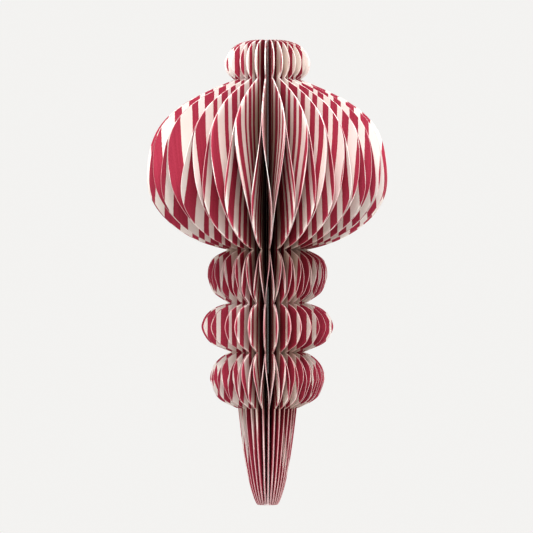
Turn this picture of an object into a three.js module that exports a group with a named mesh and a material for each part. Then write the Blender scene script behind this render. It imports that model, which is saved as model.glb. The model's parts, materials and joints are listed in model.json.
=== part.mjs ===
// Accordion (honeycomb) paper lantern: a hanging finial of shaped paper leaves.
//
// Every leaf is cut to the same half profile and bound to its two neighbours along the
// spine. Next to the spine axis the bound edges form a narrow ring. Neighbouring leaves are
// also glued to each other further out, by turns on one side and on the other, so that the
// stack fans out into a ring of cells. A stiff cover card closes each end of the stack, and
// magnets in the cards hold the opened fan shut all the way round.
//
// Units are millimetres and +Z is up. The origin is the top of the spine axis, where the
// lantern hangs, and the whole lantern lies below it. The model is the opened lantern.
// Each leaf is a flat plate that points along the first of its two glue seams, so it can
// swing about its own spine edge and lie flat on its neighbour when the fan closes.

import * as THREE from 'three';

// Spread of each leaf: the angle in degrees between its two glue seams. The leaves start at
// the covers and go counterclockwise seen from above. Gluing by hand leaves them uneven.
const COVER_SEAM_DEG = 135;
const LEAF_SPREADS_DEG = [
  7, 7.5, 7.5, 7, 7, 8, 10.5, 4.5, 13.5, 4.5, 10.2, 9.1, 6.1,
  3.8, 7, 5.2, 8, 5.8, 5.9, 6, 5.5, 5.7, 4, 5.6, 4.2, 5.9,
  4, 6, 4, 5.5, 4, 6.2, 4.8, 6.5, 6, 7, 6.5, 7.5, 7,
  8, 8, 9, 8.5, 9.5, 9, 10, 9.5, 9.5, 7.5, 7.5, 7, 7,
];

// Stack
const LEAF_COUNT = LEAF_SPREADS_DEG.length;
const LEAF_THICKNESS = 0.5;
const LEAF_PITCH = 0.66;
const COVER_THICKNESS = 1.5;
const COVER_TO_LEAF = 0.2;
const COVER_TO_COVER = 0.4;

// The spine edges stand on a ring, with one wider space left for the two covers.
const COVER_SPACE = COVER_TO_COVER + 2 * (COVER_THICKNESS + COVER_TO_LEAF) + LEAF_THICKNESS;
const SPINE_RADIUS = ((LEAF_COUNT - 1) * LEAF_PITCH + COVER_SPACE) / (2 * Math.PI);

// Half profile, as radius from the axis and height. The crown is a flat disc at the top.
// A lobe swells from the neck above it to its widest ring and returns to the neck below.
// A shoulder or waist handle is [reach, slope in degrees] where the curve leaves the neck,
// and a fullness is how far the curve runs straight down beside the widest ring.
const CROWN_RADIUS = 12;
const LOBES = [
  {
    wide: { radius: 27.7, height: -15 },
    neck: { radius: 21.4, height: -25.2 },
    shoulder: [12.5, 6],
    waist: [5.2, 11],
    fullness: [3, 1.8],
    steps: [4, 2],
  },
  {
    wide: { radius: 77.8, height: -91 },
    neck: { radius: 25.6, height: -135.2 },
    shoulder: [51.5, 21.5],
    waist: [35, 11],
    fullness: [34, 17.3],
    steps: [7, 6],
  },
  {
    wide: { radius: 38.8, height: -152.7 },
    neck: { radius: 24.8, height: -169.5 },
    shoulder: [13, 22],
    waist: [1, 80],
    fullness: [9.6, 12.4],
    steps: [4, 3],
  },
  {
    wide: { radius: 42.7, height: -185.7 },
    neck: { radius: 22.9, height: -201.2 },
    shoulder: [15.3, 11],
    waist: [1, 80],
    fullness: [5, 11.6],
    steps: [4, 3],
  },
  {
    wide: { radius: 37.2, height: -218.7 },
    neck: { radius: 19.1, height: -237.4 },
    shoulder: [4, 11],
    waist: [1, 100],
    fullness: [11.6, 16],
    steps: [4, 3],
  },
];
const TAIL = {
  bend: { radius: 16.6, height: -262 },
  taper: { radius: 11.8, height: -293 },
  tip: { radius: SPINE_RADIUS + 0.6, height: -300 },
  steps: 4,
};

// Magnets and string hole in the cover cards
const MAGNET_RADIUS = 4;
const MAGNET_THICKNESS = 1.1;
const MAGNET_HOLE_RADIUS = 4.2;
const MAGNET_SIDES = 24;
const MAGNET_PLACES = [
  { name: 'upper', radius: 62, height: -91 },
  { name: 'lower', radius: 31, height: -186 },
];
const STRING_HOLE = { radius: SPINE_RADIUS + 4, height: -4, size: 1.25, sides: 12 };

const TURN = 2 * Math.PI;

const leafCard = new THREE.MeshStandardMaterial({ color: 0xb5354d, roughness: 0.9 });
const coverCard = new THREE.MeshStandardMaterial({ color: 0xe9dccb, roughness: 0.85 });
const magnetNickel = new THREE.MeshStandardMaterial({
  color: 0xb9bcc0,
  roughness: 0.3,
  metalness: 1,
});

// Direction, in radians, of glue seam number index. Seam 0 and seam LEAF_COUNT are the
// same direction, a full turn apart.
function seamAngle(index) {
  const passed = LEAF_SPREADS_DEG.slice(0, index).reduce((sum, spread) => sum + spread, 0);
  return THREE.MathUtils.degToRad(COVER_SEAM_DEG + passed);
}

// Place of the spine edge of leaf number index on the ring round the axis
function spineEdge(index) {
  const coverHalf = Math.asin(COVER_SPACE / 2 / SPINE_RADIUS);
  const share = index / (LEAF_COUNT - 1);
  const angle = seamAngle(0) + coverHalf + share * (TURN - 2 * coverHalf);
  return new THREE.Vector3(Math.cos(angle), Math.sin(angle), 0).multiplyScalar(SPINE_RADIUS);
}

// The outline's coordinates are distance out from the spine edge, and height.
function outlinePoint(radius, height) {
  return new THREE.Vector2(radius - SPINE_RADIUS, height);
}

function curvePoints(start, startHandle, endHandle, end, steps) {
  const curve = new THREE.CubicBezierCurve(start, startHandle, endHandle, end);
  return curve.getPoints(steps).slice(1);
}

// A neck's handle points outwards, and down for a shoulder or up for a waist.
function neckHandle(neck, [reach, slopeDeg], vertical) {
  const slope = THREE.MathUtils.degToRad(slopeDeg);
  return new THREE.Vector2(
    neck.x + reach * Math.cos(slope),
    neck.y + vertical * reach * Math.sin(slope),
  );
}

function lobePoints(start, lobe) {
  const wide = outlinePoint(lobe.wide.radius, lobe.wide.height);
  const neck = outlinePoint(lobe.neck.radius, lobe.neck.height);
  const above = new THREE.Vector2(wide.x, wide.y + lobe.fullness[0]);
  const below = new THREE.Vector2(wide.x, wide.y - lobe.fullness[1]);
  return [
    ...curvePoints(start, neckHandle(start, lobe.shoulder, -1), above, wide, lobe.steps[0]),
    ...curvePoints(wide, below, neckHandle(neck, lobe.waist, 1), neck, lobe.steps[1]),
  ];
}

function tailPoints(start) {
  const bend = outlinePoint(TAIL.bend.radius, TAIL.bend.height);
  const taper = outlinePoint(TAIL.taper.radius, TAIL.taper.height);
  const tip = outlinePoint(TAIL.tip.radius, TAIL.tip.height);
  return curvePoints(start, bend, taper, tip, TAIL.steps);
}

// Half profile shared by the leaves and the covers
function leafOutline() {
  const points = [new THREE.Vector2(0, 0), outlinePoint(CROWN_RADIUS, 0)];
  for (const lobe of LOBES) {
    points.push(...lobePoints(points[points.length - 1], lobe));
  }
  points.push(...tailPoints(points[points.length - 1]));
  points.push(new THREE.Vector2(0, TAIL.tip.height));
  return points;
}

function roundHole(radius, height, size, sides) {
  const centre = outlinePoint(radius, height);
  const points = [];
  for (let side = 0; side < sides; side += 1) {
    const angle = (TURN * side) / sides;
    points.push(
      new THREE.Vector2(centre.x + size * Math.cos(angle), centre.y + size * Math.sin(angle)),
    );
  }
  return new THREE.Path(points);
}

// A plate lies in the XZ plane, from x = 0 outwards, with its faces at y = near and
// y = near + thickness. Placing it turns +X to the seam direction.
function plate(shape, near, thickness) {
  const geometry = new THREE.ExtrudeGeometry(shape, { depth: thickness, bevelEnabled: false });
  geometry.rotateX(Math.PI / 2);
  geometry.translate(0, near + thickness, 0);
  return geometry;
}

function coverPlate(near) {
  const shape = new THREE.Shape(leafOutline());
  for (const place of MAGNET_PLACES) {
    shape.holes.push(roundHole(place.radius, place.height, MAGNET_HOLE_RADIUS, MAGNET_SIDES));
  }
  const { radius, height, size, sides } = STRING_HOLE;
  shape.holes.push(roundHole(radius, height, size, sides));
  return plate(shape, near, COVER_THICKNESS);
}

// Disc magnet, centred in the thickness of the cover that starts at y = near
function magnetDisc(place, near) {
  const geometry = new THREE.CylinderGeometry(
    MAGNET_RADIUS,
    MAGNET_RADIUS,
    MAGNET_THICKNESS,
    MAGNET_SIDES,
  );
  const centre = outlinePoint(place.radius, place.height);
  geometry.translate(centre.x, near + COVER_THICKNESS / 2, centre.y);
  return geometry;
}

function placed(name, geometry, material, edgeIndex, seamIndex) {
  const mesh = new THREE.Mesh(geometry, material);
  mesh.name = name;
  mesh.position.copy(spineEdge(edgeIndex));
  mesh.rotation.z = seamAngle(seamIndex);
  return mesh;
}

// One leaf for each seam, standing on its own spine edge
function paperLeaves() {
  const shape = new THREE.Shape(leafOutline());
  const leaves = new THREE.Group();
  for (let index = 0; index < LEAF_COUNT; index += 1) {
    const geometry = plate(shape, -LEAF_THICKNESS / 2, LEAF_THICKNESS);
    const name = `leaf_${String(index).padStart(2, '0')}`;
    leaves.add(placed(name, geometry, leafCard, index, index));
  }
  return leaves;
}

// A cover card and its magnets lie beside the spine edge of the end leaf.
function cover(name, near, edgeIndex, seamIndex) {
  const group = new THREE.Group();
  group.add(placed(`cover_${name}`, coverPlate(near), coverCard, edgeIndex, seamIndex));
  for (const place of MAGNET_PLACES) {
    const disc = magnetDisc(place, near);
    const nodeName = `magnet_${place.name}_${name}`;
    group.add(placed(nodeName, disc, magnetNickel, edgeIndex, seamIndex));
  }
  return group;
}

const firstCoverNear = -(LEAF_THICKNESS / 2 + COVER_TO_LEAF + COVER_THICKNESS);
const lastCoverNear = LEAF_THICKNESS / 2 + COVER_TO_LEAF;

const lantern = new THREE.Group();
lantern.add(paperLeaves());
lantern.add(cover('first', firstCoverNear, 0, 0));
lantern.add(cover('last', lastCoverNear, LEAF_COUNT - 1, LEAF_COUNT));

export default lantern;
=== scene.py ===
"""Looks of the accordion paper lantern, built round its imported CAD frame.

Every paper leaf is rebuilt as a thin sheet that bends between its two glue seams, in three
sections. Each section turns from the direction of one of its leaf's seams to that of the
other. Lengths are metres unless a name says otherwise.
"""

import json
import math
import random

import bpy
import numpy as np
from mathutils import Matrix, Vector

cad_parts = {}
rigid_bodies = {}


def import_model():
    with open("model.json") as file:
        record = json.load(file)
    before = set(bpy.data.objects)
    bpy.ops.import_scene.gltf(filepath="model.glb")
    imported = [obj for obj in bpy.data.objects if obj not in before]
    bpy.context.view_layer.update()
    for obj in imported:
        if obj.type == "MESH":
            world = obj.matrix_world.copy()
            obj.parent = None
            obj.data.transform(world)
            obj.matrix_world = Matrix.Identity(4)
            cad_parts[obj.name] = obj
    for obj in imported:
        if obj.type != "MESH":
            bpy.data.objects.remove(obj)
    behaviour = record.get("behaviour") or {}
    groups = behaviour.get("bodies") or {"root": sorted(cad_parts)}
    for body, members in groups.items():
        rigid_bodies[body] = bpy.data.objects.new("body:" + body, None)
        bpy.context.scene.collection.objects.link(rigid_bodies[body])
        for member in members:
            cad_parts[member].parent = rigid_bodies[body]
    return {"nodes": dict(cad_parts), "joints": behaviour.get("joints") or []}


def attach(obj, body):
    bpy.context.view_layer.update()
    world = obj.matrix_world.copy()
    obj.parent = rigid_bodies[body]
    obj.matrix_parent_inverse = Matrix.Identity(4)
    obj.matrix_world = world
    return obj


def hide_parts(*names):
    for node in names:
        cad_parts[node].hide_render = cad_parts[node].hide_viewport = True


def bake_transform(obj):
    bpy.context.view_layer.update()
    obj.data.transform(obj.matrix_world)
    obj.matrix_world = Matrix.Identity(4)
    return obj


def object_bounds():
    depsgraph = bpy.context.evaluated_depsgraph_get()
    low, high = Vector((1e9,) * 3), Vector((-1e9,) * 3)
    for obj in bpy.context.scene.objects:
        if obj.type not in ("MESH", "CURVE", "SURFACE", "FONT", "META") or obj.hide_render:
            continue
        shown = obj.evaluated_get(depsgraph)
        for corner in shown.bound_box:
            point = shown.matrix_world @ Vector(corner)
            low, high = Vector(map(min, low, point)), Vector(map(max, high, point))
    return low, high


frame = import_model()
CAD_LOW, CAD_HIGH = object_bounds()
MM = 0.001

# ---------------------------------------------------------------- driving sizes

PAPER_THICKNESS = 0.32 * MM
GLUED_PITCH = 0.36 * MM
ROW_STEP = 1.5 * MM
COLUMNS = 8
SHARP_ANGLE = math.radians(35)

# Heights between which a leaf bends from one glue seam to the other, and the heights
# where one section of a leaf ends and the next begins.
BENDS = (
    (-51 * MM, -125 * MM),
    (-134.5 * MM, -177 * MM),
    (-200 * MM, -239 * MM),
)
SECTION_NAMES = ("upper", "middle", "lower")
SECTION_CUTS = (-130 * MM, -185 * MM)
BEND_JITTER = 1.5 * MM
CUT_JITTER = 0.25 * MM

# Nearer to the spine than this, a leaf's cut and its lean to a neighbour fade out.
SPINE_ZONE = 10 * MM

# Widths of the printed stripes from the spine outwards, crimson first and then by turns.
# Every leaf is cut from the sheets at about the same place, so its outermost stripe is
# mostly cream on the main bulb and mostly crimson on the small bulbs. One sheet serves the
# counterclockwise faces and the other one the clockwise faces. Each starts a margin
# before the spine and goes on past the widest ring.
SHEET_STRIPES_MM = (
    (16, 4, 4, 6, 5, 3, 7, 4, 5, 8, 11, 7, 8, 8),
    (16, 2, 4, 8, 10, 4, 5, 6, 6, 5, 6, 8, 6, 10),
)
SHEET_WIDTH_MM = 96
SHEET_MARGIN_MM = 6
CUT_SHIFT_MM = 5
STRIPE_STRETCHES = (0.94, 1.08)
STRIPE_SLANT = 0.018
SLANT_PIVOT_MM = -91

# The stripes' edges are ragged by this much, and wander by some times as much.
RAGGED_MM = 0.5
WANDER_SHARE = 4

# The grain is read this many times a face's offset further along, so that it differs
# from face to face.
GRAIN_SHIFT = 7

# Shade is painted into the paper near the spine, where the leaves close in on one another.
# SPINE_SHADE_REACH is the share of the way out to the cut edge that this painted shade covers,
# at the lower and the upper height, and the crown has a reach of its own. Heights are in
# millimetres. The darkest painted shade turns from the low tint to the high one between the
# tint heights. The narrow face of the bound edge is coloured as paper is at BOUND_EDGE_SHARE
# of the way out.
SHADE_HEIGHTS = (-145, -100)
SPINE_SHADE_REACH = (0.82, 0.6)
CROWN_HEIGHTS = (-32, -22)
CROWN_SHADE_REACH = 0.88
TINT_HEIGHTS = (-110, -60)
WARM_SHARE = 0.6
BOUND_EDGE_SHARE = 0.4

# A wider place above shades the paper below it, less by this slope the lower it lies.
OVERHANG_SLOPE = 0.75

# Leaves crowd where their mean spread, over this many leaves on each side, is small, and there
# the painted shade between them reaches further out.
CROWD_SPAN = 3
ROOMY_SPREAD_DEG = 6.8

SEED = 20

# ---------------------------------------------------------------- camera

IMAGE_PIXELS = 533
PIXEL_SIZE = 0.647 * MM
VIEW_WIDTH = IMAGE_PIXELS * PIXEL_SIZE
CAMERA_DISTANCE = 1.95
SENSOR_WIDTH = 36.0
AXIS_OFFSET = 0.65 * MM
VIEW_CENTRE_HEIGHT = -146 * MM


def make_camera():
    data = bpy.data.cameras.new("camera")
    data.sensor_width = SENSOR_WIDTH
    data.lens = SENSOR_WIDTH * CAMERA_DISTANCE / VIEW_WIDTH
    data.clip_start = 0.05
    data.clip_end = 50
    camera = bpy.data.objects.new("camera", data)
    camera.location = (-AXIS_OFFSET, -CAMERA_DISTANCE, VIEW_CENTRE_HEIGHT)
    camera.rotation_euler = (math.pi / 2, 0, 0)
    bpy.context.scene.collection.objects.link(camera)
    bpy.context.scene.camera = camera


# ---------------------------------------------------------------- node helpers


class Shader:
    """A material's node tree with one Principled shader, and short calls to add nodes."""

    def __init__(self, name):
        self.material = bpy.data.materials.new(name)
        self.material.use_nodes = True
        self.tree = self.material.node_tree
        self.surface = self.tree.nodes["Principled BSDF"]

    def node(self, kind, inputs=None, **settings):
        made = self.tree.nodes.new(kind)
        for key, value in settings.items():
            setattr(made, key, value)
        for key, value in (inputs or {}).items():
            self.feed(made.inputs[key], value)
        return made

    def feed(self, socket, value):
        if isinstance(value, bpy.types.NodeSocket):
            self.tree.links.new(value, socket)
        else:
            socket.default_value = value

    def math(self, operation, a, b=0.0, clamp=False):
        made = self.node("ShaderNodeMath", {0: a, 1: b}, operation=operation, use_clamp=clamp)
        return made.outputs[0]

    def noise(self, vector, scale, detail=2.0, roughness=0.5):
        inputs = {"Vector": vector, "Scale": scale, "Detail": detail, "Roughness": roughness}
        return self.node("ShaderNodeTexNoise", inputs).outputs["Fac"]

    def spread(self, value, low, high, to_low, to_high):
        inputs = {0: value, 1: low, 2: high, 3: to_low, 4: to_high}
        return self.node("ShaderNodeMapRange", inputs).outputs[0]

    def mix(self, share, a, b, blend="MIX"):
        made = self.node("ShaderNodeMix", data_type="RGBA", blend_type=blend)
        self.feed(made.inputs[0], share)
        self.feed(made.inputs[6], a)
        self.feed(made.inputs[7], b)
        return made.outputs[2]

    def scaled(self, vector, x, y, z=1.0):
        inputs = {"Vector": vector, "Scale": (x, y, z)}
        return self.node("ShaderNodeMapping", inputs).outputs[0]

    def bump(self, height, strength, distance, normal=None):
        inputs = {"Height": height, "Strength": strength, "Distance": distance}
        if normal is not None:
            inputs["Normal"] = normal
        return self.node("ShaderNodeBump", inputs).outputs[0]


# ---------------------------------------------------------------- materials

CREAM = (0.91, 0.86, 0.81, 1)
CREAM_WARM = (0.87, 0.79, 0.72, 1)
CRIMSON = (0.44, 0.041, 0.079, 1)
CRIMSON_DEEP = (0.34, 0.027, 0.056, 1)
EDGE_WHITE = (0.93, 0.90, 0.87, 1)
EDGE_DULL = (0.76, 0.68, 0.64, 1)
CARD_CORE = (0.88, 0.84, 0.79, 1)
CARD_DULL = (0.70, 0.65, 0.60, 1)
NICKEL = (0.62, 0.61, 0.59, 1)
NICKEL_HAZE = (0.5, 0.49, 0.47, 1)
STAGE_GREY = (0.80, 0.79, 0.775, 1)
STAGE_MOTTLE = (0.76, 0.75, 0.735, 1)
# Painted shade: its darkest colour high and low on the lantern, and its warm colour part way out
PAINTED_SHADE_TINT_HIGH = (0.65, 0.55, 0.42, 1)
PAINTED_SHADE_TINT_LOW = (0.025, 0.018, 0.018, 1)
PAINTED_SHADE_WARM = (0.67, 0.57, 0.51, 1)
UNSHADED = (1, 1, 1, 1)
PAPER_SPECULAR = 0.12
EDGE_SPECULAR = 0.2

# How much of the crimson a cut edge takes from its stripe, and, in patches low on the lantern,
# partly by rubbing on others and partly as painted shade
INK_BLEED = 0.5
RUBBED_INK_AND_SHADE = 0.7


def stripe_mask(shader, across):
    """1 on a crimson stripe and 0 on cream, from millimetres across the sheets, which lie
    side by side."""
    widths = [width for stripes in SHEET_STRIPES_MM for width in stripes]
    total = sum(widths)
    share = shader.math("FRACT", shader.math("DIVIDE", across, total))
    ramp_node = shader.node("ShaderNodeValToRGB", {"Fac": share})
    ramp = ramp_node.color_ramp
    ramp.interpolation = "CONSTANT"
    edge = 0.0
    for index, width in enumerate(widths):
        place = edge / total
        stop = ramp.elements[index] if index < 2 else ramp.elements.new(place)
        level = 1.0 - index % 2
        stop.position = place
        stop.color = (level, level, level, 1)
        edge += width
    return ramp_node.outputs["Color"]


def ink_coverage(shader, sheet):
    """1 where the sheet is printed crimson, with wandering and slightly ragged edges."""
    parts = shader.node("ShaderNodeSeparateXYZ", {0: sheet})
    wander = shader.noise(shader.scaled(sheet, 0.012, 0.03), 1.0, 2.0)
    ragged = shader.noise(shader.scaled(sheet, 0.6, 0.35), 1.0, 3.0, 0.7)
    shift = shader.math("MULTIPLY", shader.math("SUBTRACT", wander, 0.5), WANDER_SHARE * RAGGED_MM)
    rough_edge = shader.math("MULTIPLY", shader.math("SUBTRACT", ragged, 0.5), RAGGED_MM)
    across = shader.math("ADD", parts.outputs[0], shader.math("ADD", shift, rough_edge))
    return stripe_mask(shader, across)


def spine_shade(shader):
    """The colour of the painted shade that darkens the paper near the spine and under wider places
    above, white further out, and the height in millimetres. Both come from the depth layer, which
    holds how far out a point lies as a share of the widest reach near it, and the height."""
    depth = shader.node("ShaderNodeUVMap", uv_map="depth").outputs[0]
    parts = shader.node("ShaderNodeSeparateXYZ", {0: depth})
    way_out, height = parts.outputs[0], parts.outputs[1]
    body_reach = shader.spread(height, *SHADE_HEIGHTS, *SPINE_SHADE_REACH)
    crown_reach = shader.spread(height, *CROWN_HEIGHTS, 0, CROWN_SHADE_REACH)
    reach = shader.math("MAXIMUM", body_reach, crown_reach)
    upper = shader.spread(height, *TINT_HEIGHTS, 0, 1)
    darkest = shader.mix(upper, PAINTED_SHADE_TINT_LOW, PAINTED_SHADE_TINT_HIGH)
    share = shader.math("DIVIDE", way_out, reach)
    inner = shader.mix(shader.spread(share, 0, WARM_SHARE, 0, 1), darkest, PAINTED_SHADE_WARM)
    outer = shader.mix(shader.spread(share, WARM_SHARE, 1, 0, 1), inner, UNSHADED)
    return outer, height


def printed_paper():
    """Matte handmade paper, striped in crimson ink on warm cream. The sheet layer holds
    millimetres across the stripes, and along them."""
    s = Shader("printed_paper")
    sheet = s.node("ShaderNodeUVMap", uv_map="sheet").outputs[0]
    ink = ink_coverage(s, sheet)

    cloud = s.noise(s.scaled(sheet, 0.05, 0.03), 1.0, 4.0, 0.6)
    grain = s.noise(s.scaled(sheet, 1.6, 0.9), 1.0, 3.0, 0.6)
    streak = s.noise(s.scaled(sheet, 0.9, 0.02), 1.0, 3.0, 0.5)
    cream = s.mix(s.spread(cloud, 0.35, 0.7, 0, 1), CREAM, CREAM_WARM)
    inked = s.math("ADD", s.math("MULTIPLY", grain, 0.5), s.math("MULTIPLY", streak, 0.5))
    crimson = s.mix(s.spread(inked, 0.38, 0.62, 0, 1), CRIMSON, CRIMSON_DEEP)
    printed = s.mix(ink, cream, crimson)
    # Painted shade near the spine and under overhangs darkens the print.
    shade, _ = spine_shade(s)
    s.feed(s.surface.inputs["Base Color"], s.mix(1.0, printed, shade, "MULTIPLY"))
    rough = s.spread(grain, 0.3, 0.7, 0.78, 0.95)
    s.feed(s.surface.inputs["Roughness"], rough)
    s.surface.inputs["Specular IOR Level"].default_value = PAPER_SPECULAR

    fibre = s.noise(s.scaled(sheet, 2.2, 0.7), 1.0, 4.0, 0.65)
    cockle = s.noise(s.scaled(sheet, 0.05, 0.035), 1.0, 2.0)
    fine = s.bump(fibre, 0.35, 0.08 * MM)
    s.feed(s.surface.inputs["Normal"], s.bump(cockle, 0.5, 0.6 * MM, fine))
    return s.material


def cut_edge(name, light, dull):
    """Bare paper core where a sheet or card was cut, pinkish where ink bled into it, with painted
    shade.
    """
    s = Shader(name)
    sheet = s.node("ShaderNodeUVMap", uv_map="sheet").outputs[0]
    shade, height = spine_shade(s)
    layers = s.noise(s.scaled(sheet, 6.0, 0.12), 1.0, 3.0, 0.6)
    fuzz = s.noise(s.scaled(sheet, 3.0, 1.4), 1.0, 3.0, 0.7)
    tone = s.math("MULTIPLY", s.math("ADD", layers, fuzz), 0.5)
    core = s.mix(s.spread(tone, 0.35, 0.65, 0, 1), light, dull)
    patches = s.noise(s.scaled(sheet, 0.2, 0.02), 1.0, 2.0)
    stain = s.spread(patches, 0.35, 0.6, 0.35, 1)
    # Low on the lantern the cut edges take crimson in patches: partly ink rubbed off other leaves,
    # partly painted shade on edges that sit in shade.
    rubbed_ink_and_shade = s.math("MULTIPLY", s.spread(height, *SHADE_HEIGHTS, RUBBED_INK_AND_SHADE, 0), stain)
    bled = s.math("MULTIPLY", ink_coverage(s, sheet), INK_BLEED)
    ink = s.math("MAXIMUM", bled, rubbed_ink_and_shade)
    inked = s.mix(ink, core, CRIMSON)
    s.feed(s.surface.inputs["Base Color"], s.mix(1.0, inked, shade, "MULTIPLY"))
    s.feed(s.surface.inputs["Roughness"], s.spread(fuzz, 0.3, 0.7, 0.85, 1.0))
    s.surface.inputs["Specular IOR Level"].default_value = EDGE_SPECULAR
    s.feed(s.surface.inputs["Normal"], s.bump(fuzz, 0.5, 0.08 * MM))
    return s.material


def plated_nickel():
    """Nickel-plated disc, lightly scuffed by the disc it meets."""
    s = Shader("plated_nickel")
    place = s.node("ShaderNodeTexCoord").outputs["Object"]
    scuff = s.noise(place, 900.0, 4.0, 0.7)
    haze = s.noise(place, 220.0, 2.0)
    s.feed(s.surface.inputs["Base Color"], s.mix(haze, NICKEL, NICKEL_HAZE))
    s.feed(s.surface.inputs["Roughness"], s.spread(scuff, 0.35, 0.7, 0.18, 0.42))
    s.surface.inputs["Metallic"].default_value = 1.0
    s.feed(s.surface.inputs["Normal"], s.bump(scuff, 0.15, 0.02 * MM))
    return s.material


# ---------------------------------------------------------------- frame geometry

# The points of a leaf at its widest ring reach at least this share of its widest reach.
WIDEST_SHARE = 0.999
# Points no further out than this are on the bound edge and not on the cut edge.
BOUND_WIDTH = 0.3 * MM
# Heights this close together count as the same.
SAME_HEIGHT = 1e-6


class Fan:
    """The folding fan as the frame has it: spine edges, seam directions and bodies."""

    def __init__(self):
        joints = frame["joints"]
        self.count = len(joints)
        self.bodies = [joints[0]["parent"]] + [joint["child"] for joint in joints]
        self.spine = [np.array(joint["pos_m"][:2]) for joint in joints]
        self.folds = [math.radians(-joint["range_deg"][0]) for joint in joints]
        first = self.node_points(leaf_node(0))[:, :2] - self.spine[0]
        reach = np.linalg.norm(first, axis=1)
        widest = first[reach > WIDEST_SHARE * reach.max()].mean(0)
        start = math.atan2(widest[1], widest[0])
        self.seams = [start + sum(self.folds[:index]) for index in range(self.count + 1)]

    def glue_shift(self, seam):
        """How far each of the two leaves glued at a seam leans over to touch the other."""
        if seam in (0, self.count):
            return 0.0
        angle = self.seams[seam]
        step = self.spine[seam] - self.spine[seam - 1]
        apart = abs(step[1] * math.cos(angle) - step[0] * math.sin(angle))
        return max(0.0, (apart - GLUED_PITCH) / 2)

    def openness(self, leaf):
        """1 where the leaves stand well apart round a leaf, and less where they crowd."""
        near = self.folds[max(0, leaf - CROWD_SPAN) : leaf + CROWD_SPAN + 1]
        return min(1.0, math.degrees(sum(near) / len(near)) / ROOMY_SPREAD_DEG)

    @staticmethod
    def node_points(name):
        return np.array([v.co for v in frame["nodes"][name].data.vertices])

    def in_plane(self, node, leaf, seam):
        """A node's points as distance out from a leaf's spine edge, distance to the
        side of the leaf, and height."""
        angle = self.seams[seam]
        out = np.array([math.cos(angle), math.sin(angle)])
        side = np.array([-out[1], out[0]])
        points = self.node_points(node)
        flat = points[:, :2] - self.spine[leaf]
        return np.column_stack([flat @ out, flat @ side, points[:, 2]])


def leaf_node(index):
    return f"leaf_{index:02d}"


def catmull_rom(points, step):
    """Points along a smooth curve through the given points, about one step apart."""
    first = 3 * points[0] - 3 * points[1] + points[2]
    last = 3 * points[-1] - 3 * points[-2] + points[-3]
    padded = np.vstack([first, points, last])
    gaps = np.linalg.norm(np.diff(padded, axis=0), axis=1)
    knots = np.concatenate([[0], np.cumsum(gaps**0.5)])
    made = []
    for i in range(1, len(padded) - 2):
        p0, p1, p2, p3 = padded[i - 1 : i + 3]
        t0, t1, t2, t3 = knots[i - 1 : i + 3]
        pieces = max(1, round(float(np.linalg.norm(p2 - p1)) / step))
        for t in np.linspace(t1, t2, pieces, endpoint=False):
            a1 = ((t1 - t) * p0 + (t - t0) * p1) / (t1 - t0)
            a2 = ((t2 - t) * p1 + (t - t1) * p2) / (t2 - t1)
            a3 = ((t3 - t) * p2 + (t - t2) * p3) / (t3 - t2)
            b1 = ((t2 - t) * a1 + (t - t0) * a2) / (t2 - t0)
            b2 = ((t3 - t) * a2 + (t - t1) * a3) / (t3 - t1)
            made.append(((t2 - t) * b1 + (t - t1) * b2) / (t2 - t1))
    made.append(points[-1])
    return np.array(made)


def cut_outline(fan):
    """The outer cut edge of a leaf from crown to tip, as (distance out, height). The
    CAD outline is faceted, so each stretch between two necks is made smooth again."""
    points = fan.in_plane(leaf_node(0), 0, 0)[:, [0, 2]]
    points = np.unique(np.round(points, 6), axis=0)
    edge = points[points[:, 0] > BOUND_WIDTH]
    edge = edge[np.lexsort((edge[:, 0], -edge[:, 1]))]
    steps = np.diff(edge, axis=0)
    turn = steps[:-1, 0] * steps[1:, 1] - steps[:-1, 1] * steps[1:, 0]
    corners = [0] + [i + 1 for i in range(len(turn)) if turn[i] > 0] + [len(edge) - 1]
    stretches = [edge[a : b + 1] for a, b in zip(corners[:-1], corners[1:])]
    smooth = [catmull_rom(stretch, ROW_STEP) for stretch in stretches]
    return np.vstack([part[:-1] for part in smooth] + [smooth[-1][-1:]])


def widest_near(outline, heights):
    """The reach of the outline at each height, or of a wider place that hangs over it."""
    heights = np.asarray(heights)
    own = np.interp(-heights, -outline[:, 1], outline[:, 0])
    above = outline[None, :, 1] - heights[:, None]
    overhang = np.where(above > 0, outline[None, :, 0] - OVERHANG_SLOPE * above, 0)
    return np.maximum(own, overhang.max(1))


def stretch_between(outline, high, low):
    """The part of the outline from one height down to another, cut exactly there."""
    inside = outline[(outline[:, 1] < high - SAME_HEIGHT) & (outline[:, 1] > low + SAME_HEIGHT)]

    def at(height):
        return np.array([np.interp(-height, -outline[:, 1], outline[:, 0]), height])

    top = outline[:1] if high >= 0 else at(high)[None]
    bottom = outline[-1:] if low <= outline[-1, 1] else at(low)[None]
    return np.vstack([top, inside, bottom])


def smoothstep(value, start, end):
    share = np.clip((value - start) / (end - start), 0, 1)
    return share * share * (3 - 2 * share)


# ---------------------------------------------------------------- leaves


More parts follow.
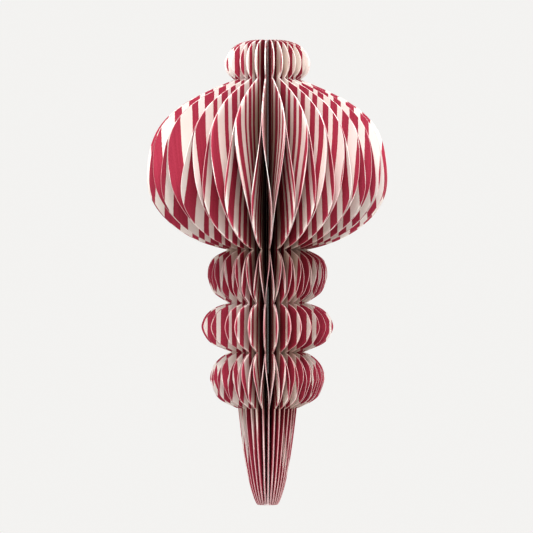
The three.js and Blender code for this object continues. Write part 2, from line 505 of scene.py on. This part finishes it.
def sheet_solid(name, spine, angles, reach, heights, wide, faces_uv, materials, open_share):
    """A thin closed sheet whose rows lie at the given heights. Each row runs out from the
    spine edge in its own direction. faces_uv gives the print cut of each face."""
    rows = len(heights)
    share = np.linspace(0, 1, COLUMNS)
    out = np.column_stack([np.cos(angles), np.sin(angles)])
    side = np.column_stack([-out[:, 1], out[:, 0]])
    along = reach[:, None] * share[None]
    vertices = []
    for sign in (1, -1):
        to_face = sign * PAPER_THICKNESS / 2 * side[:, None]
        flat = spine + along[..., None] * out[:, None] + to_face
        tall = np.broadcast_to(heights[:, None, None], (rows, COLUMNS, 1))
        vertices.append(np.concatenate([flat, tall], axis=2).reshape(-1, 3))
    index = np.arange(2 * rows * COLUMNS).reshape(2, rows, COLUMNS)
    front, back = index

    def quads(a, b, c, d):
        return np.stack([a, b, c, d], axis=-1).reshape(-1, 4)

    front_faces = quads(front[:-1, :-1], front[:-1, 1:], front[1:, 1:], front[1:, :-1])
    back_faces = quads(back[:-1, 1:], back[:-1, :-1], back[1:, :-1], back[1:, 1:])
    outer = quads(front[:-1, -1], back[:-1, -1], back[1:, -1], front[1:, -1])
    inner = quads(back[:-1, 0], front[:-1, 0], front[1:, 0], back[1:, 0])
    top = quads(back[0, :-1], back[0, 1:], front[0, 1:], front[0, :-1])
    bottom = quads(front[-1, :-1], front[-1, 1:], back[-1, 1:], back[-1, :-1])
    groups = [front_faces, back_faces, outer, inner, top, bottom]
    faces = np.vstack(groups)

    mesh = bpy.data.meshes.new(name)
    mesh.from_pydata(np.vstack(vertices).tolist(), [], faces.tolist())
    for material in materials:
        mesh.materials.append(material)
    printed = len(front_faces) + len(back_faces)
    slots = np.ones(len(faces), np.int32)
    slots[:printed] = 0
    mesh.polygons.foreach_set("material_index", slots)

    across = np.tile(along.reshape(-1), 2) / MM
    height = np.tile(np.repeat(heights, COLUMNS), 2) / MM
    uv = np.empty((len(faces), 4, 2))
    for group, print_cut in zip(groups[:2], faces_uv):
        first = 0 if group is front_faces else len(front_faces)
        block = uv[first : first + len(group)]
        block[..., 0] = sheet_place(print_cut, across[group], height[group])
        block[..., 1] = height[group] + GRAIN_SHIFT * print_cut[0]
    rim = faces[printed:]
    uv[printed:, :, 0] = sheet_place(faces_uv[0], across[rim], height[rim])
    uv[printed:, :, 1] = height[rim] + (rim >= rows * COLUMNS) * PAPER_THICKNESS / MM
    layer = mesh.uv_layers.new(name="sheet")
    layer.data.foreach_set("uv", uv.reshape(-1).astype(np.float32))

    # The depth layer places the painted shade: how far out each point lies, as a share that
    # crowding makes smaller, and its height.
    depth = np.zeros((len(faces), 4, 2), np.float32)
    depth[..., 0] = np.tile((along / wide[:, None]).reshape(-1), 2)[faces] * open_share
    depth[..., 1] = height[faces]
    bound = printed + len(outer)
    depth[bound : bound + len(inner), :, 0] = BOUND_EDGE_SHARE
    mesh.uv_layers.new(name="depth").data.foreach_set("uv", depth.reshape(-1))
    mesh.shade_smooth()
    mesh.set_sharp_from_angle(angle=SHARP_ANGLE)
    made = bpy.data.objects.new(name, mesh)
    bpy.context.scene.collection.objects.link(made)
    return made


def face_print(sheet, dice):
    """Where a face was cut from its striped sheet: offset, slant and stretch."""
    spine_place = sheet * SHEET_WIDTH_MM + SHEET_MARGIN_MM
    shift = dice.uniform(-CUT_SHIFT_MM, CUT_SHIFT_MM)
    slant = dice.uniform(-STRIPE_SLANT, STRIPE_SLANT)
    return spine_place + shift, slant, dice.choice(STRIPE_STRETCHES)


def sheet_place(print_cut, across, height):
    """How far across the sheets a point of a face lies, in millimetres."""
    offset, slant, stretch = print_cut
    return offset + stretch * across + slant * (height - SLANT_PIVOT_MM)


def make_leaf(fan, outline, index, dice, materials):
    """One leaf in three sections. Even leaves start at the crown on the first of their
    two seams, and odd leaves on the second, so that neighbours are glued by turns."""
    name = leaf_node(index)
    prints = [face_print(0, dice), face_print(1, dice)]
    shape = outline.copy()
    wider = dice.uniform(-CUT_JITTER, CUT_JITTER)
    shape[:, 0] += wider * np.clip(shape[:, 0] / SPINE_ZONE, 0, 1)
    on_second = index % 2
    spine = fan.spine[index]
    open_share = fan.openness(index)
    limits = (CAD_HIGH.z,) + SECTION_CUTS + (CAD_LOW.z,)
    for number, section in enumerate(SECTION_NAMES):
        start = BENDS[number][0] + dice.uniform(-BEND_JITTER, BEND_JITTER)
        end = BENDS[number][1] + dice.uniform(-BEND_JITTER, BEND_JITTER)
        part = stretch_between(shape, limits[number], limits[number + 1])
        weight = smoothstep(part[:, 1], start, end)
        from_second = (on_second + number) % 2
        share = 1 - weight if from_second else weight
        lean = share * fan.glue_shift(index + 1) - (1 - share) * fan.glue_shift(index)
        reach, heights = part.T
        turned = share * fan.folds[index] + lean / np.maximum(reach, SPINE_ZONE)
        angles = fan.seams[index] + turned
        wide = widest_near(outline, heights)
        sheet_name = f"{name}_{section}"
        sheet = sheet_solid(
            sheet_name, spine, angles, reach, heights, wide, prints, materials, open_share
        )
        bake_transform(sheet)
        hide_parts(name)


# ---------------------------------------------------------------- covers and magnets

# A card's face points more than BROAD_FACE of the way to the side, and its edges don't.
BROAD_FACE = 0.9
CARD_ROUNDING = 0.18 * MM
CARD_SHARP_ANGLE = math.radians(50)
HOLE_SIDES = 40
DISC_CLEARANCE = 0.12 * MM
STRING_HOLE_PLACE = (4 * MM, -4 * MM)
STRING_HOLE_RADIUS = 1.25 * MM


def hole_points(centre, radius):
    angles = [2 * math.pi * i / HOLE_SIDES for i in range(HOLE_SIDES)]
    return [centre + radius * np.array([math.cos(a), math.sin(a)]) for a in angles]


def flat_solid(name, loops, thickness):
    """A flat plate in the XY plane with its own outline and holes, and rounded edges."""
    curve = bpy.data.curves.new(name, "CURVE")
    curve.dimensions = "2D"
    curve.fill_mode = "BOTH"
    curve.extrude = thickness / 2 - CARD_ROUNDING
    curve.bevel_depth = CARD_ROUNDING
    curve.bevel_resolution = 2
    curve.offset = -CARD_ROUNDING
    for loop in loops:
        spline = curve.splines.new("POLY")
        spline.points.add(len(loop) - 1)
        for point, (x, y) in zip(spline.points, loop):
            point.co = (x, y, 0, 1)
        spline.use_cyclic_u = True
    holder = bpy.data.objects.new(name, curve)
    bpy.context.scene.collection.objects.link(holder)
    bpy.context.view_layer.update()
    depsgraph = bpy.context.evaluated_depsgraph_get()
    mesh = bpy.data.meshes.new_from_object(holder.evaluated_get(depsgraph))
    bpy.data.objects.remove(holder)
    bpy.data.curves.remove(curve)
    return mesh


def print_on_faces(mesh, materials, prints, outline):
    """Striped print on the two broad faces of a plate, and bare core on its edges."""
    for material in materials:
        mesh.materials.append(material)
    layer = mesh.uv_layers.new(name="sheet")
    # The depth layer places the painted shade on the card as on the leaves.
    depth = mesh.uv_layers.new(name="depth")
    wide = widest_near(outline, [vertex.co.y for vertex in mesh.vertices]) / MM
    for polygon in mesh.polygons:
        broad = abs(polygon.normal.z) > BROAD_FACE
        polygon.material_index = 0 if broad else 1
        print_cut = prints[0 if polygon.normal.z > 0 else 1]
        for loop in polygon.loop_indices:
            vertex = mesh.loops[loop].vertex_index
            x, y, z = mesh.vertices[vertex].co / MM
            depth.data[loop].uv = (x / wide[vertex], y)
            if broad:
                along = y + GRAIN_SHIFT * print_cut[0]
                layer.data[loop].uv = (sheet_place(print_cut, x, y), along)
            else:
                layer.data[loop].uv = (z + print_cut[0], x + y)


def stand_up(mesh, fan, leaf, seam, shift):
    """Turns a plate from its own XY plane into the upright plane of a seam."""
    angle = fan.seams[seam]
    out = Vector((math.cos(angle), math.sin(angle), 0))
    side = Vector((-out.y, out.x, 0))
    base = Vector((*fan.spine[leaf], 0))
    for vertex in mesh.vertices:
        x, y, z = vertex.co
        vertex.co = base + x * out + float(shift - z) * side + Vector((0, 0, y))


def finish_piece(name, mesh, body, node):
    mesh.shade_smooth()
    mesh.set_sharp_from_angle(angle=CARD_SHARP_ANGLE)
    made = bpy.data.objects.new(name, mesh)
    bpy.context.scene.collection.objects.link(made)
    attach(made, body)
    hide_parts(node)


def middle_and_size(fan, node, leaf, seam):
    """The middle and the size of a node's box in the upright plane of a seam."""
    points = fan.in_plane(node, leaf, seam)
    return (points.min(0) + points.max(0)) / 2, points.max(0) - points.min(0)


def make_cover(fan, outline, end, leaf, seam, dice, materials, nickel):
    """A cover card with its punched holes, and the disc magnets set in them."""
    body = fan.bodies[seam]
    node = f"cover_{end}"
    middle, size = middle_and_size(fan, node, leaf, seam)
    border = np.vstack([[[0, 0]], outline, [[0, outline[-1, 1]]]])
    loops = [border]
    discs = []
    for place in ("upper", "lower"):
        disc_node = f"magnet_{place}_{end}"
        disc_middle, disc_size = middle_and_size(fan, disc_node, leaf, seam)
        centre = disc_middle[[0, 2]]
        loops.append(hole_points(centre, disc_size[2] / 2 + DISC_CLEARANCE))
        discs.append((disc_node, centre, disc_middle[1], disc_size))
    loops.append(hole_points(np.array(STRING_HOLE_PLACE), STRING_HOLE_RADIUS))
    mesh = flat_solid(f"card_{end}", loops, size[1])
    print_on_faces(mesh, materials, [face_print(0, dice), face_print(1, dice)], outline)
    stand_up(mesh, fan, leaf, seam, middle[1])
    finish_piece(f"card_{end}", mesh, body, node)
    for disc_node, centre, shift, disc_size in discs:
        disc = flat_solid(disc_node, [hole_points(centre, disc_size[2] / 2)], disc_size[1])
        disc.materials.append(nickel)
        stand_up(disc, fan, leaf, seam, shift)
        finish_piece(disc_node.replace("magnet", "disc"), disc, body, disc_node)


# ---------------------------------------------------------------- stage and light

FLOOR_HEIGHT = -1.3
FLOOR_RADIUS = 1.7
FLOOR_SIDES = 96
FADE_RADII = (0.8, 1.666)

# The studio's brightness from straight down, 0, to straight up, 1
SKY_LEVELS = (
    (0.0, 0.35), (0.25, 0.5), (0.37, 0.75), (0.45, 0.9), (0.55, 0.9), (0.68, 0.65), (1.0, 0.75),
)
SKY_TINT = (1, 0.991, 0.974)
FRONT_LEVEL = 0.8


def make_floor():
    """A pale floor under the lantern that fades out before it reaches the horizon."""
    vertices = [(0, 0, FLOOR_HEIGHT)]
    for i in range(FLOOR_SIDES):
        angle = 2 * math.pi * i / FLOOR_SIDES
        x, y = FLOOR_RADIUS * math.cos(angle), FLOOR_RADIUS * math.sin(angle)
        vertices.append((x, y, FLOOR_HEIGHT))
    faces = [(0, i + 1, (i + 1) % FLOOR_SIDES + 1) for i in range(FLOOR_SIDES)]
    mesh = bpy.data.meshes.new("floor")
    mesh.from_pydata(vertices, [], faces)
    s = Shader("floor_grey")
    place = s.node("ShaderNodeTexCoord").outputs["Object"]
    flat = s.node("ShaderNodeMapping", {"Vector": place, "Scale": (1, 1, 0)}).outputs[0]
    far = s.node("ShaderNodeVectorMath", {0: flat}, operation="LENGTH").outputs["Value"]
    fade = s.spread(far, *FADE_RADII, 0, 1)
    mottle = s.noise(place, 6.0, 3.0)
    tint = s.mix(s.spread(mottle, 0.3, 0.7, 0, 0.25), STAGE_GREY, STAGE_MOTTLE)
    s.feed(s.surface.inputs["Base Color"], tint)
    s.surface.inputs["Roughness"].default_value = 0.9
    clear = s.node("ShaderNodeBsdfTransparent")
    both = s.node("ShaderNodeMixShader", {0: fade, 1: s.surface.outputs[0], 2: clear.outputs[0]})
    s.tree.links.new(both.outputs[0], s.tree.nodes["Material Output"].inputs["Surface"])
    mesh.materials.append(s.material)
    floor = bpy.data.objects.new("floor", mesh)
    bpy.context.scene.collection.objects.link(floor)


def make_world():
    """An even pale studio, dimmer in front of the lantern, overhead and below it."""
    world = bpy.data.worlds.new("studio")
    world.use_nodes = True
    bpy.context.scene.world = world
    tree = world.node_tree
    place = tree.nodes.new("ShaderNodeTexCoord")
    parts = tree.nodes.new("ShaderNodeSeparateXYZ")
    height = tree.nodes.new("ShaderNodeMapRange")
    height.inputs[1].default_value = -1
    height.inputs[2].default_value = 1
    ramp = tree.nodes.new("ShaderNodeValToRGB")
    stops = ramp.color_ramp.elements
    for index, (stop_place, level) in enumerate(SKY_LEVELS):
        stop = stops[index] if index < 2 else stops.new(stop_place)
        stop.position = stop_place
        stop.color = (*(level * tint for tint in SKY_TINT), 1)
    front = tree.nodes.new("ShaderNodeMapRange")
    front.inputs[1].default_value = -1
    front.inputs[2].default_value = 0
    front.inputs[3].default_value = FRONT_LEVEL
    front.inputs[4].default_value = 1
    tree.links.new(place.outputs["Generated"], parts.inputs[0])
    tree.links.new(parts.outputs[1], front.inputs[0])
    tree.links.new(front.outputs[0], tree.nodes["Background"].inputs[1])
    tree.links.new(parts.outputs[2], height.inputs[0])
    tree.links.new(height.outputs[0], ramp.inputs[0])
    tree.links.new(ramp.outputs[0], tree.nodes["Background"].inputs[0])


def make_lamp(name, location, target, size, power):
    data = bpy.data.lights.new(name, "AREA")
    data.shape = "DISK"
    data.size = size
    data.energy = power
    lamp = bpy.data.objects.new(name, data)
    lamp.location = location
    lamp.rotation_mode = "QUATERNION"
    lamp.rotation_quaternion = (Vector(target) - Vector(location)).to_track_quat("-Z", "Y")
    bpy.context.scene.collection.objects.link(lamp)


def make_lights():
    middle = (0, 0, -0.12)
    make_lamp("overhead", (0, -0.6, 0.85), middle, 0.7, 16)
    make_lamp("left", (-1.45, -0.85, -0.25), middle, 0.8, 16.5)
    make_lamp("right", (1.5, -0.9, -0.1), middle, 0.7, 26)


# ---------------------------------------------------------------- build

FIRST_COVER_SEED = SEED - 1
LAST_COVER_SEED = SEED - 2

make_camera()
bpy.context.scene.view_settings.view_transform = "Standard"
make_world()
make_lights()
make_floor()

fan = Fan()
outline = cut_outline(fan)
paper = [printed_paper(), cut_edge("leaf_edge", EDGE_WHITE, EDGE_DULL)]
card = [paper[0], cut_edge("card_edge", CARD_CORE, CARD_DULL)]
nickel = plated_nickel()
for leaf_index in range(fan.count):
    make_leaf(fan, outline, leaf_index, random.Random(SEED + leaf_index), paper)
dice = random.Random(FIRST_COVER_SEED)
make_cover(fan, outline, "first", 0, 0, dice, card, nickel)
dice = random.Random(LAST_COVER_SEED)
make_cover(fan, outline, "last", fan.count - 1, fan.count, dice, card, nickel)
